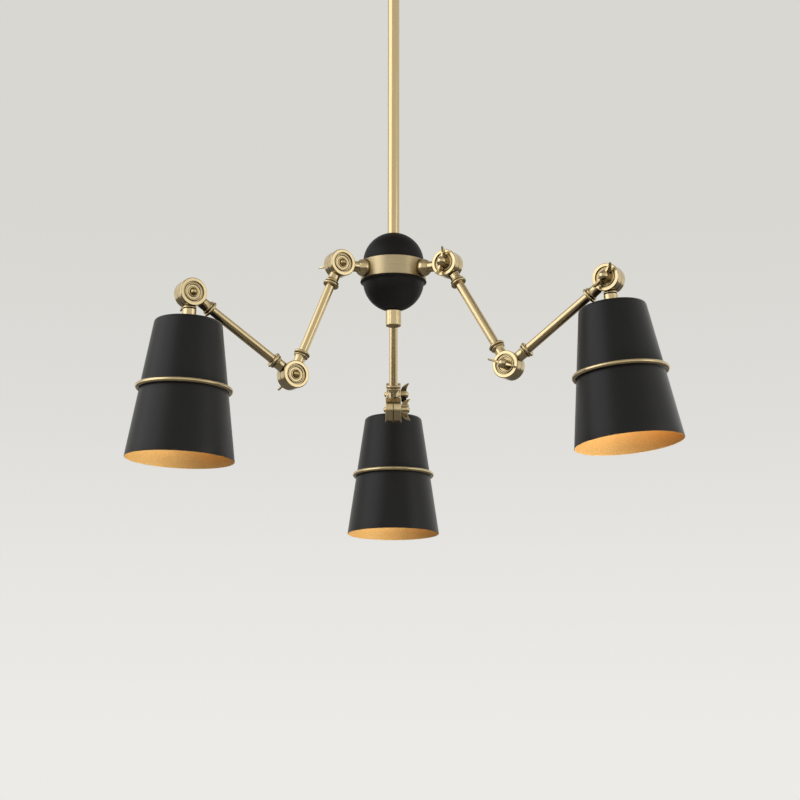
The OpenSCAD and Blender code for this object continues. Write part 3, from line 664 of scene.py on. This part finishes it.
def socket_pattern(brass, ceramic):
    """The screw socket: a threaded brass shell, a ceramic base and a sprung centre contact."""
    mouth = -HOLDER_TOP - HOLDER_HEIGHT + HOLDER_WALL
    base = mouth + SOCKET_DEPTH
    play = 0.0003
    outer = HOLDER_RADIUS - HOLDER_WALL - play
    thread_foot = mouth + 0.001
    thread_wall = 0.0005
    plain_end = 0.004
    turns = int((SOCKET_DEPTH - plain_end) / THREAD_PITCH)
    wave = [i / 8 for i in range(9)]
    crest = SOCKET_BORE + THREAD_DEPTH
    thread = draw_outline(
        "socket_thread",
        [(crest - THREAD_DEPTH * math.cos(2 * math.pi * w), thread_foot + w * THREAD_PITCH) for w in wave],
    )
    bpy.ops.object.mode_set(mode="OBJECT")
    bpy.ops.object.modifier_add(type="SCREW")
    screw = thread.modifiers[-1]
    screw.screw_offset = THREAD_PITCH
    screw.iterations = turns
    screw.steps = 64
    screw.render_steps = 64
    screw.use_merge_vertices = True
    screw.merge_threshold = 0.000002
    bpy.ops.object.modifier_apply(modifier=screw.name)
    bpy.ops.object.modifier_add(type="SOLIDIFY")
    thread.modifiers[-1].thickness = thread_wall
    thread.modifiers[-1].offset = 0
    bpy.ops.object.modifier_apply(modifier=thread.modifiers[-1].name)
    thread.data.materials.append(brass)

    collar_bore = SOCKET_BORE + play
    collar_floor = mouth + 0.004
    collar_top = mouth + 0.006
    collar_wall = 0.0008
    roll = 0.0009
    collar = turn(
        "socket_collar",
        [
            (collar_bore, collar_floor),
            (collar_bore, thread_foot),
            *arc((collar_bore + roll, mouth + roll), roll, 180, 270, 6),
            *arc((outer - roll, mouth + roll), roll, 270, 360, 6),
            (outer, collar_top),
            (outer - collar_wall, collar_top),
            (outer - collar_wall, collar_floor),
            (collar_bore, collar_floor),
        ],
    )
    collar.data.materials.append(brass)

    base_top = base + SOCKET_BASE
    edge = 0.001
    well_radius = 0.009
    well_floor = base + 0.003
    insulator = turn(
        "socket_insulator",
        [
            (0, base_top),
            *line((0, base_top), (outer - edge, base_top), 4),
            *arc((outer - edge, base_top - edge), edge, 90, 0, 5),
            *arc((outer - edge, base + edge), edge, 0, -90, 5),
            *arc((well_radius + edge, base + edge), edge, -90, -180, 5),
            (well_radius, well_floor),
            (0, well_floor),
        ],
    )
    insulator.data.materials.append(ceramic)

    contact_radius = 0.004
    contact_top = base + 0.0034
    contact_rim = base + 0.0022
    contact_round = 0.0016
    tip_radius = 0.0012
    tip = base + 0.0007
    contact = turn(
        "socket_contact",
        [
            (0, contact_top),
            (contact_radius, contact_top),
            (contact_radius, contact_rim),
            *arc((contact_radius - contact_round, contact_rim), contact_round, 0, -60, 5),
            (tip_radius, tip),
            (0, tip),
        ],
        sides=48,
    )
    contact.data.materials.append(brass)

    socket = join(thread, collar, insulator, contact)
    smooth(socket, 40)
    return socket


def cast_wing(side):
    """One wing of a wing nut, a crescent that thins towards its raised tip."""
    low_arc = WING_SPAN / 2 - WING_ROOT
    low_middle = WING_LIFT + low_arc
    reach = math.sqrt(low_arc**2 - (low_middle - WING_RISE) ** 2)
    high = WING_LIFT + WING_HEIGHT
    rise = WING_RISE - high
    high_arc = (reach**2 + rise**2) / (2 * rise)

    def station(part):
        """Middle and height of the wing at a part of its reach."""
        along = max(part, 0) * reach
        low_edge = low_middle - math.sqrt(low_arc**2 - along**2)
        high_edge = high + high_arc - math.sqrt(high_arc**2 - along**2)
        place = (side * (WING_ROOT + part * reach), 0, NUT_FOOT + (low_edge + high_edge) / 2)
        return Vector(place), high_edge - low_edge, WING_THICK + (WING_THIN - WING_THICK) * max(part, 0)

    slab = 0.0004
    place, height, thick = station(-WING_OVERLAP)
    bpy.ops.object.select_all(action="DESELECT")
    bpy.ops.mesh.primitive_cube_add(size=1, location=place, scale=(slab, thick, height))
    wing = bpy.context.object
    bpy.ops.object.transform_apply(location=True, rotation=True, scale=True)
    select_faces(wing, lambda face: face.normal.x * side > 0.9)
    for part in WING_STATIONS:
        last_place, last_height, last_thick = place, height, thick
        place, height, thick = station(part)
        bpy.ops.mesh.extrude_region_move(TRANSFORM_OT_translate={"value": place - last_place})
        ratio = (1, thick / last_thick, height / last_height)
        bpy.ops.transform.resize(value=ratio, center_override=place)
    bpy.ops.mesh.select_all(action="SELECT")
    bpy.ops.mesh.normals_make_consistent(inside=False)
    bpy.ops.object.mode_set(mode="OBJECT")
    return wing


def wing_nut_pattern(brass):
    """The wing nut: a ball-ended boss and two wings, blended into one casting."""
    top = NUT_FOOT + BOSS_HEIGHT
    edge = 0.0004
    step = 0.003
    outline = [(0, NUT_FOOT), (step, NUT_FOOT), (BOSS_RADIUS - edge, NUT_FOOT)]
    outline += [(BOSS_RADIUS, NUT_FOOT + edge), (BOSS_RADIUS, NUT_FOOT + step)]
    outline += arc((0, top - BOSS_RADIUS), BOSS_RADIUS, 0, 90, 14)
    boss = turn("wing_nut_pattern", outline, 64)
    nut = join(boss, cast_wing(1), cast_wing(-1))
    bpy.ops.object.modifier_add(type="REMESH")
    nut.modifiers[-1].mode = "VOXEL"
    nut.modifiers[-1].voxel_size = NUT_VOXEL
    bpy.ops.object.modifier_apply(modifier=nut.modifiers[-1].name)
    bpy.ops.object.modifier_add(type="SMOOTH")
    nut.modifiers[-1].factor = 0.5
    nut.modifiers[-1].iterations = 6
    bpy.ops.object.modifier_apply(modifier=nut.modifiers[-1].name)
    bpy.ops.object.shade_smooth()
    nut.data.materials.append(brass)
    return nut


def dress_cad_nodes(finishes):
    """Gives each carried-over solid its finish."""
    for node in frame["nodes"].values():
        for slot in node.material_slots:
            slot.material = finishes[slot.material.name]
    frame["nodes"]["hub_band"].material_slots[0].material = brushed_brass()
    frame["nodes"]["down_rod"].material_slots[0].material = drawn_brass("rod_brass", heading=(0, 0, 0))
    for arm in ARMS:
        for link, ends in (("inner", ("shoulder", "elbow")), ("outer", ("elbow", "shade"))):
            run = hinge_centre(arm, ends[1]) - hinge_centre(arm, ends[0])
            heading = run.to_track_quat("Z", "Y").to_euler()
            tube = frame["nodes"][f"{arm}_{link}_tube"]
            tube.material_slots[0].material = drawn_brass(f"{arm}_{link}_tube_brass", heading)


def hang_shades(finishes):
    """Puts the shades, lampholders and sockets on the three shade heads."""
    shade = shade_pattern(finishes["shade_black"], shade_gold())
    holder = holder_pattern(finishes["holder_black"])
    socket = socket_pattern(finishes["socket"], socket_ceramic())
    for arm in ARMS:
        body = f"{arm}_shade_head"
        top = shade_frame(arm)
        patterns = (
            (shade, "shade_cone", "shade", "shade_black"),
            (holder, "ribbed_lampholder", "lampholder", "holder_black"),
            (socket, "threaded_socket", "lamp_socket", "socket"),
        )
        for pattern, name, node, slot in patterns:
            piece = put(pattern, f"{arm}_{name}", top)
            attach(piece, body)
            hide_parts(f"{arm}_{node}")
    for pattern in (shade, holder, socket):
        discard(pattern)


def fit_wing_nuts(finishes):
    """Puts a cast wing nut on each hinge, with its wings as the frame has them."""
    nut = wing_nut_pattern(finishes["brass"])
    for arm in ARMS:
        for hinge in HINGES:
            place = axes(hinge_centre(arm, hinge), wing_direction(arm, hinge), nut_side(arm, hinge))
            piece = put(nut, f"{arm}_{hinge}_cast_wing_nut", place)
            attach(piece, f"{arm}_{hinge}_wing_nut")
            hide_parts(f"{arm}_{hinge}_wing_nut")
    discard(nut)


set_camera()
set_world()
add_softbox("left_softbox", (-1.87, -0.72, 0.4), width=2.4, height=2.8, radiance=1.1, colour=COOL_WHITE)
add_softbox("right_softbox", (3.0, -1.6, 0.05), width=1.7, height=1.2, radiance=1.0, colour=COOL_WHITE)
floor_bounce = add_softbox(
    "floor_bounce", (1.1, -0.5, -2.1), width=1.7, height=1.7, radiance=12.8, colour=WARM_WHITE
)
floor_bounce.visible_glossy = False
floor_bounce.visible_camera = False
lay_floor(floor_paint())
felt = card_felt()
lay_card("under_card", felt, (0, 0, -1.6), width=14, height=14)
lay_card("ceiling_card", felt, (0, 0, 1.3), width=3.2, height=3.2)

slot_finishes = {
    "brass": satin_brass(),
    "bolt_brass": bolt_brass(),
    "hub_black": hub_black(),
    "shade_black": shade_black(),
    "steel": zinc_steel(),
    "holder_black": holder_black(),
    "socket": socket_brass(),
}
dress_cad_nodes(slot_finishes)
hang_shades(slot_finishes)
fit_wing_nuts(slot_finishes)

bpy.context.scene.view_settings.view_transform = "Standard"
